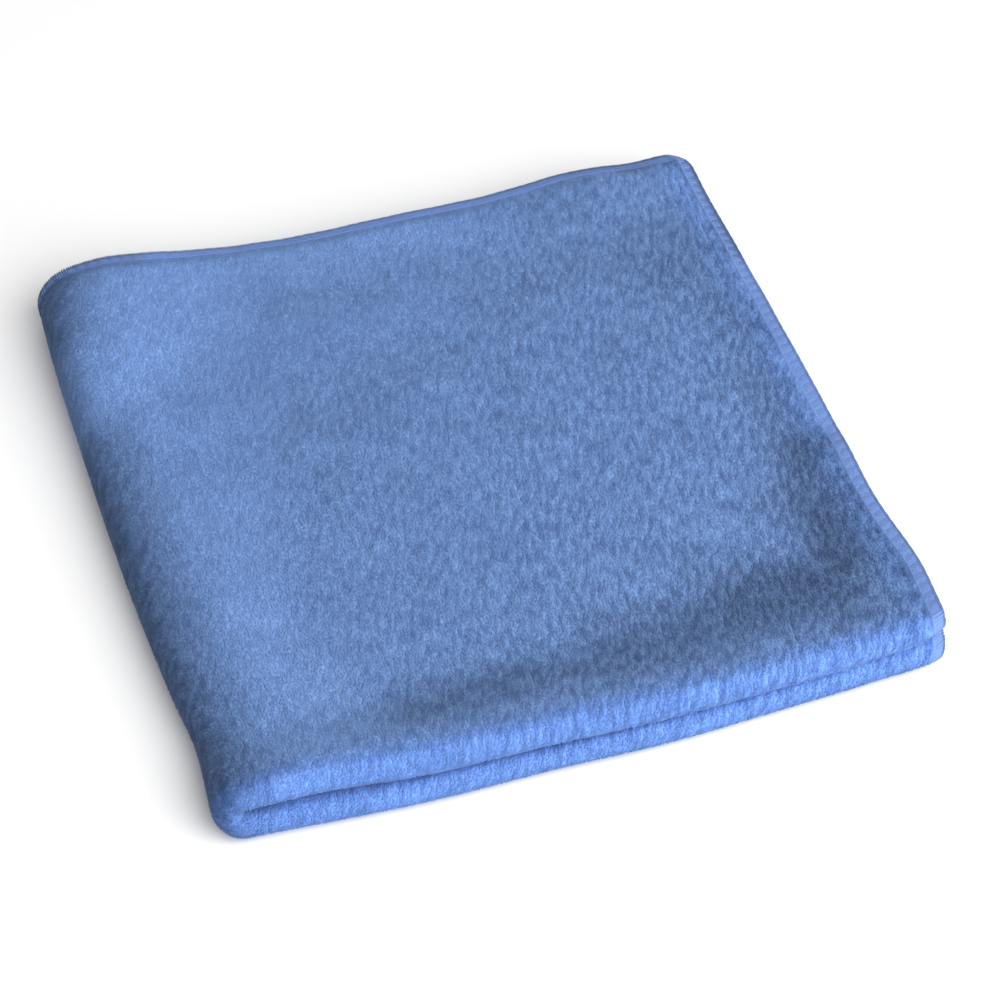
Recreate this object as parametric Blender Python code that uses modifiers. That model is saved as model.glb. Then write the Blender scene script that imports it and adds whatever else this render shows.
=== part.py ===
"""A microfibre cloth, folded in four and lying flat.

A square terry cloth is folded in half towards its front edge, and then in half again over its
left edge. The front shows two stacked folds, the left side is one round spine, and the four
hemmed layers end open at the right and at the back. Metres, X right, Y back, +Z up.
"""

from collections import namedtuple
from math import pi

import bpy
import numpy as np

# Driving dimensions
CLOTH_SIDE = 0.400       # the cut square, hem to hem
SHEET = 0.0032           # one layer with its pile on both sides
LAYER_GAP = 0.0005       # air between the two layers of one half
HALVES_GAP = 0.0006      # least air between the lower and the upper half
FRONT_GAP = 0.0018       # air inside each front fold, which stays open like a drop
FRONT_DROP = 0.024       # how far back that drop reaches
SPINE_DROP = 0.050       # how far right the air inside the spine reaches
OUTER_SHARE = 0.35       # part of a swell that lies between the top two layers
CORNER_ROUND = 0.008     # rounding of the cut corners
THINNED = 0.20           # share of its thickness that the sheet loses under the overlock seam
SUNK_FROM = 0.110        # behind this the stack sinks onto the thinner hems beside its right edge
SUNK_REACH = 0.055       # how far back from there that sinking takes to be full
CLOTH_BLUE = (0.13, 0.25, 0.56, 1.0)

# Thickness of the sheet near its overlocked edge
HemStep = namedtuple("HemStep", "inside thickness")
HEM = (
    HemStep(inside=0.0000, thickness=0.35),
    HemStep(inside=0.0009, thickness=0.80),
    HemStep(inside=0.0040, thickness=0.86),
    HemStep(inside=0.0075, thickness=1.00),
)

# Steps of the sheet's grid from the middle of a fold to the hem
FOLD_STEPS = 6
FLAT_STEPS = 14
HEM_STEPS = len(HEM) - 1
HALF_STEPS = FOLD_STEPS + FLAT_STEPS + HEM_STEPS

# The spine from front to back: how far right its face stands and the air inside it
SpinePlace = namedtuple("SpinePlace", "back inward air")
SPINE = (
    SpinePlace(back=0.000, inward=0.0012, air=0.0016),
    SpinePlace(back=0.012, inward=0.0024, air=0.0015),
    SpinePlace(back=0.026, inward=0.0034, air=0.0014),
    SpinePlace(back=0.045, inward=0.0020, air=0.0014),
    SpinePlace(back=0.070, inward=0.0008, air=0.0014),
    SpinePlace(back=0.145, inward=0.0002, air=0.0022),
    SpinePlace(back=0.178, inward=0.0006, air=0.0054),
    SpinePlace(back=0.203, inward=0.0019, air=0.0070),
)

# The two front folds from left to right: how far back each one lies
FrontPlace = namedtuple("FrontPlace", "right lower upper")
FRONT = (
    FrontPlace(right=0.000, lower=0.0040, upper=0.0070),
    FrontPlace(right=0.005, lower=0.0026, upper=0.0038),
    FrontPlace(right=0.013, lower=0.0020, upper=0.0034),
    FrontPlace(right=0.028, lower=0.0009, upper=0.0034),
    FrontPlace(right=0.055, lower=-0.0007, upper=0.0011),
    FrontPlace(right=0.090, lower=-0.0008, upper=0.0004),
    FrontPlace(right=0.122, lower=-0.0015, upper=-0.0006),
    FrontPlace(right=0.150, lower=-0.0003, upper=-0.0001),
    FrontPlace(right=0.180, lower=0.0013, upper=0.0013),
    FrontPlace(right=0.198, lower=0.0030, upper=0.0036),
    FrontPlace(right=0.206, lower=0.0060, upper=0.0076),
)

# The open back edge from left to right: how far back the hems stand out
BackPlace = namedtuple("BackPlace", "right out")
BACK = (
    BackPlace(right=0.000, out=0.0006),
    BackPlace(right=0.022, out=0.0046),
    BackPlace(right=0.048, out=0.0038),
    BackPlace(right=0.075, out=0.0012),
    BackPlace(right=0.105, out=0.0000),
    BackPlace(right=0.130, out=0.0004),
    BackPlace(right=0.160, out=0.0018),
    BackPlace(right=0.180, out=0.0006),
    BackPlace(right=0.200, out=0.0002),
)

# How far each layer's right hem has slid out, from front to back
HemPlace = namedtuple("HemPlace", "back bottom lower_inner upper_inner top")
RIGHT_HEMS = (
    HemPlace(back=0.000, bottom=0.0020, lower_inner=-0.0034, upper_inner=-0.0044, top=0.0024),
    HemPlace(back=0.022, bottom=0.0020, lower_inner=-0.0040, upper_inner=-0.0050, top=0.0036),
    HemPlace(back=0.046, bottom=0.0018, lower_inner=-0.0046, upper_inner=-0.0054, top=0.0014),
    HemPlace(back=0.080, bottom=0.0014, lower_inner=-0.0052, upper_inner=-0.0060, top=0.0016),
    HemPlace(back=0.130, bottom=0.0014, lower_inner=-0.0056, upper_inner=-0.0064, top=0.0012),
    HemPlace(back=0.165, bottom=0.0008, lower_inner=-0.0056, upper_inner=-0.0062, top=0.0022),
    HemPlace(back=0.200, bottom=0.0004, lower_inner=-0.0056, upper_inner=-0.0060, top=0.0020),
)

# How far each layer's back hem has slid out, at the spine and at the right
LayerSlide = namedtuple("LayerSlide", "right bottom lower_inner upper_inner top")
BACK_HEMS = (
    LayerSlide(right=0.000, bottom=0.0000, lower_inner=-0.0010, upper_inner=-0.0010, top=0.0016),
    LayerSlide(right=0.100, bottom=-0.0010, lower_inner=0.0008, upper_inner=-0.0014, top=0.0020),
    LayerSlide(right=0.200, bottom=0.0006, lower_inner=-0.0016, upper_inner=-0.0006, top=0.0012),
)

# Soft swells of the upper half: centre, reach to either side of it, turn and height
Swell = namedtuple("Swell", "right back across along turn height")
SWELLS = (
    Swell(right=0.100, back=0.120, across=0.075, along=0.060, turn=0.0, height=0.0022),
    Swell(right=0.036, back=0.085, across=0.014, along=0.060, turn=-0.05, height=0.0008),
    Swell(right=0.168, back=0.200, across=0.018, along=0.030, turn=0.0, height=0.0016),
    Swell(right=0.110, back=0.206, across=0.030, along=0.030, turn=0.0, height=0.0006),
    Swell(right=0.200, back=0.030, across=0.016, along=0.030, turn=0.0, height=0.0010),
)


def smooth(share):
    """Rises from 0 to 1 without a kink at either end."""
    share = np.clip(share, 0.0, 1.0)
    return share * share * (3.0 - 2.0 * share)


def read(table, name, at):
    """Reads a column of a table on a smooth curve through its rows; column 0 is the place."""
    places = np.array([row[0] for row in table])
    values = np.array([getattr(row, name) for row in table])
    slopes = np.gradient(values, places)
    at = np.clip(at, places[0], places[-1])
    row = np.clip(np.searchsorted(places, at) - 1, 0, len(places) - 2)
    length = places[row + 1] - places[row]
    share = (at - places[row]) / length
    ease = smooth(share)
    start = slopes[row] * length * share * (1.0 - share) ** 2
    end = slopes[row + 1] * length * share ** 2 * (1.0 - share)
    return values[row] * (1.0 - ease) + values[row + 1] * ease + start - end


def stations(position):
    """Turns a grid position, -1 to 1, into an angle around the fold and a share of the flat."""
    step = np.abs(position) * HALF_STEPS
    angle = np.sign(position) * np.minimum(step / FOLD_STEPS, 1.0) * pi / 2
    hem_steps = [HALF_STEPS - count for count in range(len(HEM))]
    hem_shares = [1.0 - row.inside * 2 / CLOTH_SIDE for row in HEM]
    share = np.interp(step, [FOLD_STEPS] + hem_steps[::-1], [0.0] + hem_shares[::-1])
    return angle, share


def round_cut_corners(across, along):
    """Moves the grid's corner points in, on both axes, so that the cut corners are round."""
    near_across = np.clip((CORNER_ROUND - across) / CORNER_ROUND, 0.0, 1.0)
    near_along = np.clip((CORNER_ROUND - along) / CORNER_ROUND, 0.0, 1.0)
    return CORNER_ROUND * (1.0 - 0.5 ** 0.5) * near_across ** 2 * near_along ** 2


def fold_to_front(angle, share, side):
    """First fold. Returns the place behind the fold and the offset outward from the inner face."""
    radius = (SHEET + FRONT_GAP) / 2
    flat = share * (CLOTH_SIDE / 2 - radius * pi / 2)
    drop = (FRONT_GAP - LAYER_GAP) * smooth(flat / FRONT_DROP)
    outward = np.sin(angle)
    middle = SHEET + FRONT_GAP / 2 + radius * outward - drop * (angle > 0)
    back = SHEET / 2 + radius - (radius + side) * np.cos(angle) + flat
    return back, middle + side * outward, middle


def stack_height(back):
    """Height of two layers with the air between them, at a place behind the front fold."""
    radius = (SHEET + FRONT_GAP) / 2
    flat = np.maximum(back - SHEET / 2 - radius, 0.0)
    return 2 * SHEET + FRONT_GAP - (FRONT_GAP - LAYER_GAP) * smooth(flat / FRONT_DROP)


def hem_sink(inside_across, inside_along, back, upper, outer):
    """How far a layer sinks at the hems, where all the layers below it are thinner."""
    hems = [np.interp(inside, [HEM[1].inside, HEM[-1].inside], [THINNED, 0.0]) * SHEET
            for inside in (inside_across, inside_along)]
    thinner = np.maximum(hems[0] * smooth((back - SUNK_FROM) / SUNK_REACH), hems[1])
    layer = (1.0 - upper) * (1.0 - outer) + upper * (2.0 + outer)
    return thinner * (layer + 0.5)


def swell(right, back):
    """Height of the upper half's soft swells."""
    total = np.zeros_like(right)
    for row in SWELLS:
        x = (right - row.right) * np.cos(row.turn) + (back - row.back) * np.sin(row.turn)
        y = (back - row.back) * np.cos(row.turn) - (right - row.right) * np.sin(row.turn)
        total += row.height * np.exp(-((x / row.across) ** 2 + (y / row.along) ** 2))
    return total


def fold_over_spine(angle, share, back, offset, middle):
    """Second fold. Wraps the two-layer stack around the spine."""
    stack = stack_height(back)
    air = read(SPINE, "air", back)
    neutral = air / 2 + middle
    radius = air / 2 + offset
    flat = share * (CLOTH_SIDE / 2 - neutral * pi / 2)
    right = air / 2 + stack - radius * np.cos(angle) + flat
    height = stack + air / 2 + radius * np.sin(angle)
    narrowing = (air - HALVES_GAP) * smooth(flat / SPINE_DROP)
    lift = swell(right, back) * smooth(flat / SPINE_DROP)
    outer = np.clip((middle - SHEET / 2) / (stack - SHEET), 0.0, 1.0)
    height += (angle > 0) * (lift * (1.0 - OUTER_SHARE + OUTER_SHARE * outer) - narrowing)
    return right, height


def layer_slide(table, at, upper, outer):
    """Blends a table's four layers by how far a point lies in the upper half and outside."""
    below = read(table, "lower_inner", at) * (1.0 - outer) + read(table, "bottom", at) * outer
    above = read(table, "upper_inner", at) * (1.0 - outer) + read(table, "top", at) * outer
    return below * (1.0 - upper) + above * upper


def fold(position_across, position_along, side):
    """Carries points of the flat sheet, on its upper (1) or lower (-1) side, to their folded place."""
    angle_across, share_across = stations(position_across)
    angle_along, share_along = stations(position_along)
    inside_across = (1.0 - share_across) * CLOTH_SIDE / 2
    inside_along = (1.0 - share_along) * CLOTH_SIDE / 2
    inside = np.minimum(inside_across, inside_along)
    thickness = SHEET * np.interp(inside, [row.inside for row in HEM], [row.thickness for row in HEM])
    side = side * thickness / 2

    back, offset, middle = fold_to_front(angle_along, share_along, side)
    right, height = fold_over_spine(angle_across, share_across, back, offset, middle)

    upper = (1.0 + np.sin(angle_across)) / 2
    outer = (1.0 + np.sin(angle_along)) / 2
    height -= hem_sink(inside_across, inside_along, back, upper, outer)
    corner = round_cut_corners(inside_across, inside_along)
    to_right = smooth(right * 2 / CLOTH_SIDE)
    to_back = smooth(back * 2 / CLOTH_SIDE)
    spine_in = read(SPINE, "inward", back)
    right_out = layer_slide(RIGHT_HEMS, back, upper, outer)
    front_in = read(FRONT, "lower", right) * (1.0 - upper) + read(FRONT, "upper", right) * upper
    back_out = read(BACK, "out", right) + layer_slide(BACK_HEMS, right, upper, outer)
    folded_right = right + spine_in * (1.0 - to_right) + right_out * to_right - corner
    folded_back = back + front_in * (1.0 - to_back) + back_out * to_back - corner
    return folded_right, folded_back, height


def flat_sheet():
    """A square grid with two faces, whose coordinates are grid positions and the side, -1 or 1."""
    steps = 2 * HALF_STEPS
    bpy.ops.mesh.primitive_grid_add(x_subdivisions=steps, y_subdivisions=steps, size=2.0)
    grid = bpy.context.object
    shell = grid.modifiers.new("Two faces", "SOLIDIFY")
    shell.thickness = 2.0
    shell.offset = 0.0
    evaluated = grid.evaluated_get(bpy.context.evaluated_depsgraph_get())
    mesh = bpy.data.meshes.new_from_object(evaluated)
    bpy.data.objects.remove(grid)
    return mesh


def cloth_material():
    """Matt blue microfibre."""
    material = bpy.data.materials.new("Microfibre blue")
    material.use_nodes = True
    shader = material.node_tree.nodes["Principled BSDF"]
    shader.inputs["Base Color"].default_value = CLOTH_BLUE
    shader.inputs["Roughness"].default_value = 0.95
    shader.inputs["Metallic"].default_value = 0.0
    material.diffuse_color = CLOTH_BLUE
    return material


def make_cloth(collection):
    """Folds the flat sheet and centres it on the origin, with its underside on the ground."""
    mesh = flat_sheet()
    mesh.name = "cloth"
    points = np.empty(len(mesh.vertices) * 3)
    mesh.vertices.foreach_get("co", points)
    points = points.reshape(-1, 3)
    folded = np.stack(fold(points[:, 0], points[:, 1], points[:, 2]), axis=1)
    lowest = folded.min(axis=0)
    highest = folded.max(axis=0)
    folded -= ((lowest + highest) / 2) * (1, 1, 0)
    mesh.vertices.foreach_set("co", folded.ravel())
    mesh.update()
    mesh.shade_smooth()
    mesh.set_sharp_from_angle(angle=pi / 3)
    mesh.materials.append(cloth_material())
    collection.objects.link(bpy.data.objects.new("cloth", mesh))


def main():
    for item in list(bpy.data.objects):
        bpy.data.objects.remove(item)
    collection = bpy.data.collections.new("Microfibre cloth")
    bpy.context.scene.collection.children.link(collection)
    make_cloth(collection)


if __name__ == "__main__":
    main()
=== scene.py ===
"""The looks of a blue microfibre cloth, folded in four and lying flat.

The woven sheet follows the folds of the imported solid. Tufts of pile stand on its outer side, and
an overlock seam runs round its cut edge. Places on the cloth are given on the flat, uncut-corner
square: across runs from -0.2 (lower half) over the spine at 0 to 0.2 (upper half), and along runs
from -0.2 (inner layers) over the front folds at 0 to 0.2 (outer layers). Metres, +Z up.
"""

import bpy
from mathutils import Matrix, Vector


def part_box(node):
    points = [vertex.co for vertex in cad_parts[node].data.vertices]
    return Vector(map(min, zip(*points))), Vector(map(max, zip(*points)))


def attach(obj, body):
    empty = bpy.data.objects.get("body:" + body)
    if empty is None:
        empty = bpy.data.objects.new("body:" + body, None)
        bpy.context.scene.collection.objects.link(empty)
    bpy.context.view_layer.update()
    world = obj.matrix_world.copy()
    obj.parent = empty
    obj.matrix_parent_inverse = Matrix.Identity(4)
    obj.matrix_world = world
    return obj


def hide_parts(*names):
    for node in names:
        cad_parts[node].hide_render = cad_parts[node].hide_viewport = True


bl_info = {
    "name": "Folded microfibre cloth",
    "version": (1, 0, 0),
    "blender": (4, 5, 0),
    "location": "3D View > Sidebar > Microfibre",
    "description": "Folds a terry cloth in four, raises its pile and sews its hem",
    "category": "Object",
}

from collections import namedtuple
from math import cos, pi, radians, sin

import bpy
import numpy as np
from mathutils import Vector

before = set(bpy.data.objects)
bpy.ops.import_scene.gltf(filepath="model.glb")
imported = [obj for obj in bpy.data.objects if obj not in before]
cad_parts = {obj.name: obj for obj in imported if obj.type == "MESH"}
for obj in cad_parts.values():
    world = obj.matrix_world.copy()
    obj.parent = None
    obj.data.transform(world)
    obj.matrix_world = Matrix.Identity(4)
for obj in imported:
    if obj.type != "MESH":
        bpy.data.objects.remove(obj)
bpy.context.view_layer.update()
CLOTH_NODE = "cloth"
SHEET_PIECE = "cloth_sheet"
BODY = "root"


def named_rows(columns, *rows):
    """A table whose rows give their values by these names."""
    row = namedtuple("Row", columns)
    return tuple(row(*values) for values in rows)


# Sizes of the folded sheet, as the solid has them
CLOTH_SIDE = 0.400       # the cut square, hem to hem
HALF_SIDE = CLOTH_SIDE / 2
SHEET = 0.0032           # one layer with its pile on both sides
LAYER_GAP = 0.0005       # air between the two layers of one half
HALVES_GAP = 0.0006      # least air between the lower and the upper half
FRONT_GAP = 0.0018       # air inside each front fold, which stays open like a drop
FRONT_DROP = 0.024       # how far back that drop reaches
SPINE_DROP = 0.050       # how far right the air inside the spine reaches
OUTER_SHARE = 0.35       # part of a swell that lies between the top two layers
CORNER_ROUND = 0.008     # rounding of the cut corners
THINNED = 0.20           # share of its thickness that the sheet loses under the overlock seam
SUNK_FROM = 0.110        # behind this the stack sinks onto the thinner hems beside its right edge
SUNK_REACH = 0.055       # how far back from there that sinking takes to be full
SPINE_ARC = 0.0066       # flat cloth that goes round each half of the spine
FRONT_ARC = 0.0040       # flat cloth that goes round each half of a front fold
TOP_ARCS = 3             # spine arcs from the spine to where the top's unevenness is full

# Thickness of the sheet near its overlocked edge
HEM = named_rows(
    "inside thickness",
    (0.0000, 0.35),
    (0.0009, 0.80),
    (0.0040, 0.86),
    (0.0075, 1.00),
)

# The spine from front to back: how far right its face stands and the air inside it
SPINE = named_rows(
    "back inward air",
    (0.000, 0.0012, 0.0016),
    (0.012, 0.0024, 0.0015),
    (0.026, 0.0034, 0.0014),
    (0.045, 0.0020, 0.0014),
    (0.070, 0.0008, 0.0014),
    (0.145, 0.0002, 0.0022),
    (0.178, 0.0006, 0.0054),
    (0.203, 0.0019, 0.0070),
)

# The two front folds from left to right: how far back each one lies
FRONT = named_rows(
    "right lower upper",
    (0.000, 0.0040, 0.0070),
    (0.005, 0.0026, 0.0038),
    (0.013, 0.0020, 0.0034),
    (0.028, 0.0009, 0.0034),
    (0.055, -0.0007, 0.0011),
    (0.090, -0.0008, 0.0004),
    (0.122, -0.0015, -0.0006),
    (0.150, -0.0003, -0.0001),
    (0.180, 0.0013, 0.0013),
    (0.198, 0.0030, 0.0036),
    (0.206, 0.0060, 0.0076),
)

# The open back edge from left to right: how far back the hems stand out
BACK = named_rows(
    "right out",
    (0.000, 0.0006),
    (0.022, 0.0046),
    (0.048, 0.0038),
    (0.075, 0.0012),
    (0.105, 0.0000),
    (0.130, 0.0004),
    (0.160, 0.0018),
    (0.180, 0.0006),
    (0.200, 0.0002),
)

# How far each layer's right hem has slid out, from front to back
RIGHT_HEMS = named_rows(
    "back bottom lower_inner upper_inner top",
    (0.000, 0.0020, -0.0034, -0.0044, 0.0024),
    (0.022, 0.0020, -0.0040, -0.0050, 0.0036),
    (0.046, 0.0018, -0.0046, -0.0054, 0.0014),
    (0.080, 0.0014, -0.0052, -0.0060, 0.0016),
    (0.130, 0.0014, -0.0056, -0.0064, 0.0012),
    (0.165, 0.0008, -0.0056, -0.0062, 0.0022),
    (0.200, 0.0004, -0.0056, -0.0060, 0.0020),
)

# How far each layer's back hem has slid out, at the spine and at the right
BACK_HEMS = named_rows(
    "right bottom lower_inner upper_inner top",
    (0.000, 0.0000, -0.0010, -0.0010, 0.0016),
    (0.100, -0.0010, 0.0008, -0.0014, 0.0020),
    (0.200, 0.0006, -0.0016, -0.0006, 0.0012),
)

# Soft swells of the upper half: centre, reach to either side of it, turn and height
SWELLS = named_rows(
    "right back across along turn height",
    (0.100, 0.120, 0.075, 0.060, 0.0, 0.0022),
    (0.036, 0.085, 0.014, 0.060, -0.05, 0.0008),
    (0.168, 0.200, 0.018, 0.030, 0.0, 0.0016),
    (0.110, 0.206, 0.030, 0.030, 0.0, 0.0006),
    (0.200, 0.030, 0.016, 0.030, 0.0, 0.0010),
)

# Soft troughs and ridges of the top layer, each along a line; a trough only presses its pile side
CREASES = named_rows(
    "right_a back_a right_b back_b reach height",
    (0.012, 0.006, 0.196, 0.006, 0.012, 0.0011),
    (0.058, 0.025, 0.130, 0.028, 0.010, -0.0010),
    (0.130, 0.028, 0.178, 0.042, 0.014, -0.0015),
    (0.178, 0.040, 0.180, 0.064, 0.012, -0.0015),
    (0.182, 0.064, 0.186, 0.108, 0.009, -0.0010),
    (0.194, 0.010, 0.195, 0.070, 0.007, 0.0010),
    (0.014, 0.030, 0.014, 0.150, 0.010, 0.0009),
    (0.052, 0.149, 0.058, 0.128, 0.005, -0.0005),
    (0.025, 0.082, 0.026, 0.112, 0.006, 0.0004),
    (0.066, 0.172, 0.180, 0.176, 0.014, -0.0006),
    (0.192, 0.199, 0.199, 0.194, 0.009, 0.0015),
)

# Strokes that make the pile and the hem darker or paler, each along a line: painted shade in the troughs,
# on the spine's left face and at the back corners, painted light on slopes that face the light, along the
# back hem and in the crack between the front folds, with some of the way the pile lies
LIGHT_AND_NAP_STROKES = named_rows(
    "right_a back_a right_b back_b reach tone",
    (0.058, 0.021, 0.120, 0.023, 0.010, -0.27),
    (0.112, 0.025, 0.150, 0.031, 0.011, -0.38),
    (0.150, 0.031, 0.172, 0.030, 0.013, -0.51),
    (0.174, 0.026, 0.182, 0.034, 0.011, -0.50),
    (0.182, 0.040, 0.185, 0.052, 0.009, -0.52),
    (0.182, 0.056, 0.186, 0.074, 0.011, -0.40),
    (0.185, 0.078, 0.189, 0.130, 0.010, -0.20),
    (0.174, 0.152, 0.190, 0.158, 0.012, -0.21),
    (0.000, 0.008, 0.000, 0.134, 0.011, -0.48),
    (0.000, 0.134, 0.000, 0.176, 0.007, -0.26),
    (0.000, 0.176, 0.000, 0.200, 0.010, -0.50),
    (0.018, 0.152, 0.040, 0.186, 0.022, 0.28),
    (0.044, 0.156, 0.100, 0.158, 0.012, 0.14),
    (0.040, 0.191, 0.122, 0.193, 0.014, 0.25),
    (0.196, 0.080, 0.196, 0.110, 0.003, 0.22),
    (0.195, 0.020, 0.195, 0.064, 0.002, -0.20),
    (0.193, 0.170, 0.193, 0.186, 0.006, 0.12),
    (0.028, 0.020, 0.030, 0.130, 0.014, 0.20),
    (0.020, 0.009, 0.100, 0.009, 0.005, 0.05),
    (0.198, 0.154, 0.198, 0.200, 0.004, -0.42),
    (0.110, -0.009, 0.200, -0.009, 0.005, 0.50),
    (-0.110, -0.009, -0.200, -0.009, 0.005, 0.50),
    (0.016, -0.009, 0.110, -0.009, 0.005, 0.28),
    (-0.016, -0.009, -0.110, -0.009, 0.005, 0.28),
    (0.028, 0.195, 0.176, 0.195, 0.002, 0.28),
    (0.165, 0.200, 0.200, 0.200, 0.004, -0.24),
    (0.000, 0.200, 0.026, 0.200, 0.004, -0.46),
)

# Beside the cut edge: where the ground has the overlocked band's colour, and the tone, a painted shade
# along the very edge and in the groove where the pile ends beside the band
HEM_BAND_AND_SHADE = named_rows(
    "inside band tone",
    (0.0000, 1.0, -0.35),
    (0.0012, 1.0, 0.00),
    (0.0034, 1.0, 0.00),
    (0.0044, 0.0, -0.12),
    (0.0052, 0.0, -0.12),
    (0.0062, 0.0, 0.00),
)

# Slow unevenness of the cloth: wave length, direction in turns, phase in turns and height
WAVES = named_rows(
    "length turn phase height",
    (0.046, 0.08, 0.10, 0.00016),
    (0.031, 0.31, 0.55, 0.00012),
    (0.021, 0.19, 0.80, 0.00009),
    (0.014, 0.43, 0.35, 0.00006),
)

# The sheet's grid lines, in flat distances; those of the hem are counted from the cut edge
FINE_STEP = 0.0020       # from line to line in the upper half and in the outer layers
COARSE_STEP = 0.0050     # the same in the lower half and in the inner layers
FOLD_LINES = 9           # steps round each half of a fold
HEM_LINES = (0.0085, 0.0070, 0.0060, 0.0052, 0.0044, 0.0032, 0.0020, 0.0011, 0.0006, 0.0002, 0.0)

# The pieces of pile, in the order of the numbers that the sheet's faces hold for them
PILES = (
    "pile_top_front_left",
    "pile_top_front_right",
    "pile_top_back_left",
    "pile_top_back_right",
    "pile_folds",
    "pile_underside",
    "pile_step",
)
FOLDS, UNDERSIDE, STEP, BARE = range(4, 8)     # after the four quarters of the top
INSIDE_PILE = -0.016     # how far the folds' pile runs on into the inner layers
INSIDE_MARGIN = 0.002    # how much further the sheet is sunk there, to make room for it
STEP_PILE = 0.186        # where the pile on the step beside the top layer's hem starts
STEP_MARGIN = 0.003      # how much further left the sheet is sunk there
PILE_THINNING = 0.0012   # width over which the pile thins out beside the hem band
BACK_CREEP = 0.0016      # how much nearer to the edge the pile reaches along the back hems

# The tufts
CROWDING = 4.0           # points tried on a square as wide as the spacing
BALL_RADIUS = 0.5        # radius of the ball that a tuft is made from, before it is stretched
SEED_STEP = 10           # from one piece of pile to the next

# How strongly the pile is mottled
MOTTLE_LEFT = 0.68       # at the front end of the spine
MOTTLE_RIGHT = 0.80      # what the way to the right hems adds
MOTTLE_BACK = 0.40       # what the way to the back hems takes off
MOTTLE_DARK = 1.2        # what a darker stroke of painted shade adds, and what a paler stroke of painted light takes off
MOTTLE_RANGE = (0.45, 1.90)

# Where the blue is deeper, beside the front folds' line and beside the right hems: painted light on the
# faces that the light falls on
BLUER_PAINTED_LIGHT = named_rows(
    "full fading share",
    (0.002, 0.008, 1.0),
    (0.004, 0.012, 0.5),
)

# One stitch of the overlock seam's looper thread and one of its needle thread
LOOPER = named_rows(
    "turn inside depth",
    (0.00, 0.0040, 0.55),
    (0.08, 0.0034, 1.00),
    (0.26, 0.0018, 1.04),
    (0.42, 0.0002, 0.96),
    (0.50, -0.0003, 0.00),
    (0.58, 0.0002, -0.96),
    (0.74, 0.0018, -1.04),
    (0.92, 0.0034, -1.00),
)
NEEDLE = named_rows(
    "turn inside depth",
    (0.00, 0.0041, 0.60),
    (0.25, 0.0041, 1.06),
    (0.75, 0.0041, 1.06),
)
CORNER_FAN = 0.0075      # how far from a cut corner the stitches start to turn
THREAD_SUNK = 0.25       # share of its thickness by which a thread sinks into the sheet
SEAM_MIDDLE = 0.002      # how far inside the edge the seam's length is measured
SEAM_SAMPLE = 0.0001     # flat distance between the places where it is measured

# Shine of the three finishes, and strength and depth of their bumps
PILE_FINISH, GROUND_FINISH, THREAD_FINISH = named_rows(
    "name roughness sheen bump depth",
    ("Microfibre pile", 0.9, 0.12, 0.12, 0.0002),
    ("Microfibre ground", 0.9, 0.10, 0.60, 0.0004),
    ("Hem thread", 0.8, 0.12, 0.50, 0.0001),
)
SHINE = {
    "Metallic": 0.0,
    "Specular IOR Level": 0.2,
    "Sheen Roughness": 0.45,
    "Sheen Tint": (0.80, 0.90, 1.0, 1.0),
}

# What the pile's colour is mixed from: shares of the paler blue
MIDDLE_SHARE = 0.195     # without the patches, where the mottle neither darkens nor pales
PATCH_SHARE = 0.56
CLUMP_SHARE = 2.15
LIGHT_SHARE = 0.50
MOTTLE_MIDDLE = 1.305    # what clumps and light come to in that place
DEEPER_BLUE = (0.92, 1.03, 1.25)

# Light of the pile's parts, for its colour
TIP_LIGHT = 0.30         # how much lighter a tuft's tip is than its root, a painted shade down in the pile
TUFT_LIGHT = 0.50        # how much one tuft may be lighter than another
NUB_LIGHT = 0.9          # how light the nubs of the ground weave are; the hollows between them take a painted shade

# The thread's colour
TWIST_LENGTH = 0.0011    # length of one turn of its twist
# share by which the thread is darker in the grooves of its twist, a painted shade
TWIST_SHARE = 0.25
WORN_SHARE = 0.9
DARK_THREAD = 0.84       # its darkest tone


def metres(value, name, description):
    """A length property."""
    return bpy.props.FloatProperty(name=name, description=description, default=value, min=0.0,
                                   precision=5, subtype="DISTANCE", unit="LENGTH")


def colour(value, name, description):
    """A colour property."""
    return bpy.props.FloatVectorProperty(name=name, description=description, default=value,
                                         size=3, min=0.0, max=1.0, subtype="COLOR")


def number(value, name, description):
    """A plain number property."""
    return bpy.props.FloatProperty(name=name, description=description, default=value)


def turned(value, name, description):
    """An angle property, in radians inside and degrees on screen."""
    return bpy.props.FloatProperty(name=name, description=description, default=radians(value),
                                   subtype="ANGLE", unit="ROTATION")


class MicrofibreCloth(bpy.types.PropertyGroup):
    """The sheet and its colours."""
    hem_band: metres(0.0046, "Hem band", "Width of the overlocked edge, which has no pile")
    pile_rise: metres(0.00045, "Pile rise", "How far the pile stands over the ground weave")
    relief: number(1.0, "Relief", "Strength of the soft troughs and ridges")
    face: colour((0.180, 0.314, 0.622), "Pile", "Colour of the pile's tips")
    # the darker blue, which the pile's depth and the weave's hollows take partly as painted shade
    deep: colour((0.092, 0.168, 0.372), "Roots", "Colour of the pile's roots and the ground weave")
    seam: colour((0.149, 0.252, 0.546), "Seam", "Colour of the hem's thread")


class MicrofibrePile(bpy.types.PropertyGroup):
    """The tufts."""
    spacing: metres(0.00068, "Spacing", "Least distance between two tufts")
    under_spacing: metres(0.00115, "Spacing below", "Least distance on the underside")
    width: metres(0.00118, "Width", "Width of a tuft")
    height: metres(0.00092, "Height", "Height of a tuft, with its root")
    root: metres(0.00048, "Root", "Part of a tuft that is inside the ground weave")
    lean: turned(16.0, "Lean", "How far a tuft may lean")
    seed: bpy.props.IntProperty(name="Seed", description="Number that the scatter starts from", default=7)


class MicrofibreThread(bpy.types.PropertyGroup):
    """The overlock seam."""
    stitch: metres(0.00068, "Stitch", "Length of one stitch along the edge")
    looper: metres(0.00056, "Looper thread", "Thickness of the thread that wraps the edge")
    needle: metres(0.00044, "Needle thread", "Thickness of the thread along the band's inner side")


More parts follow.
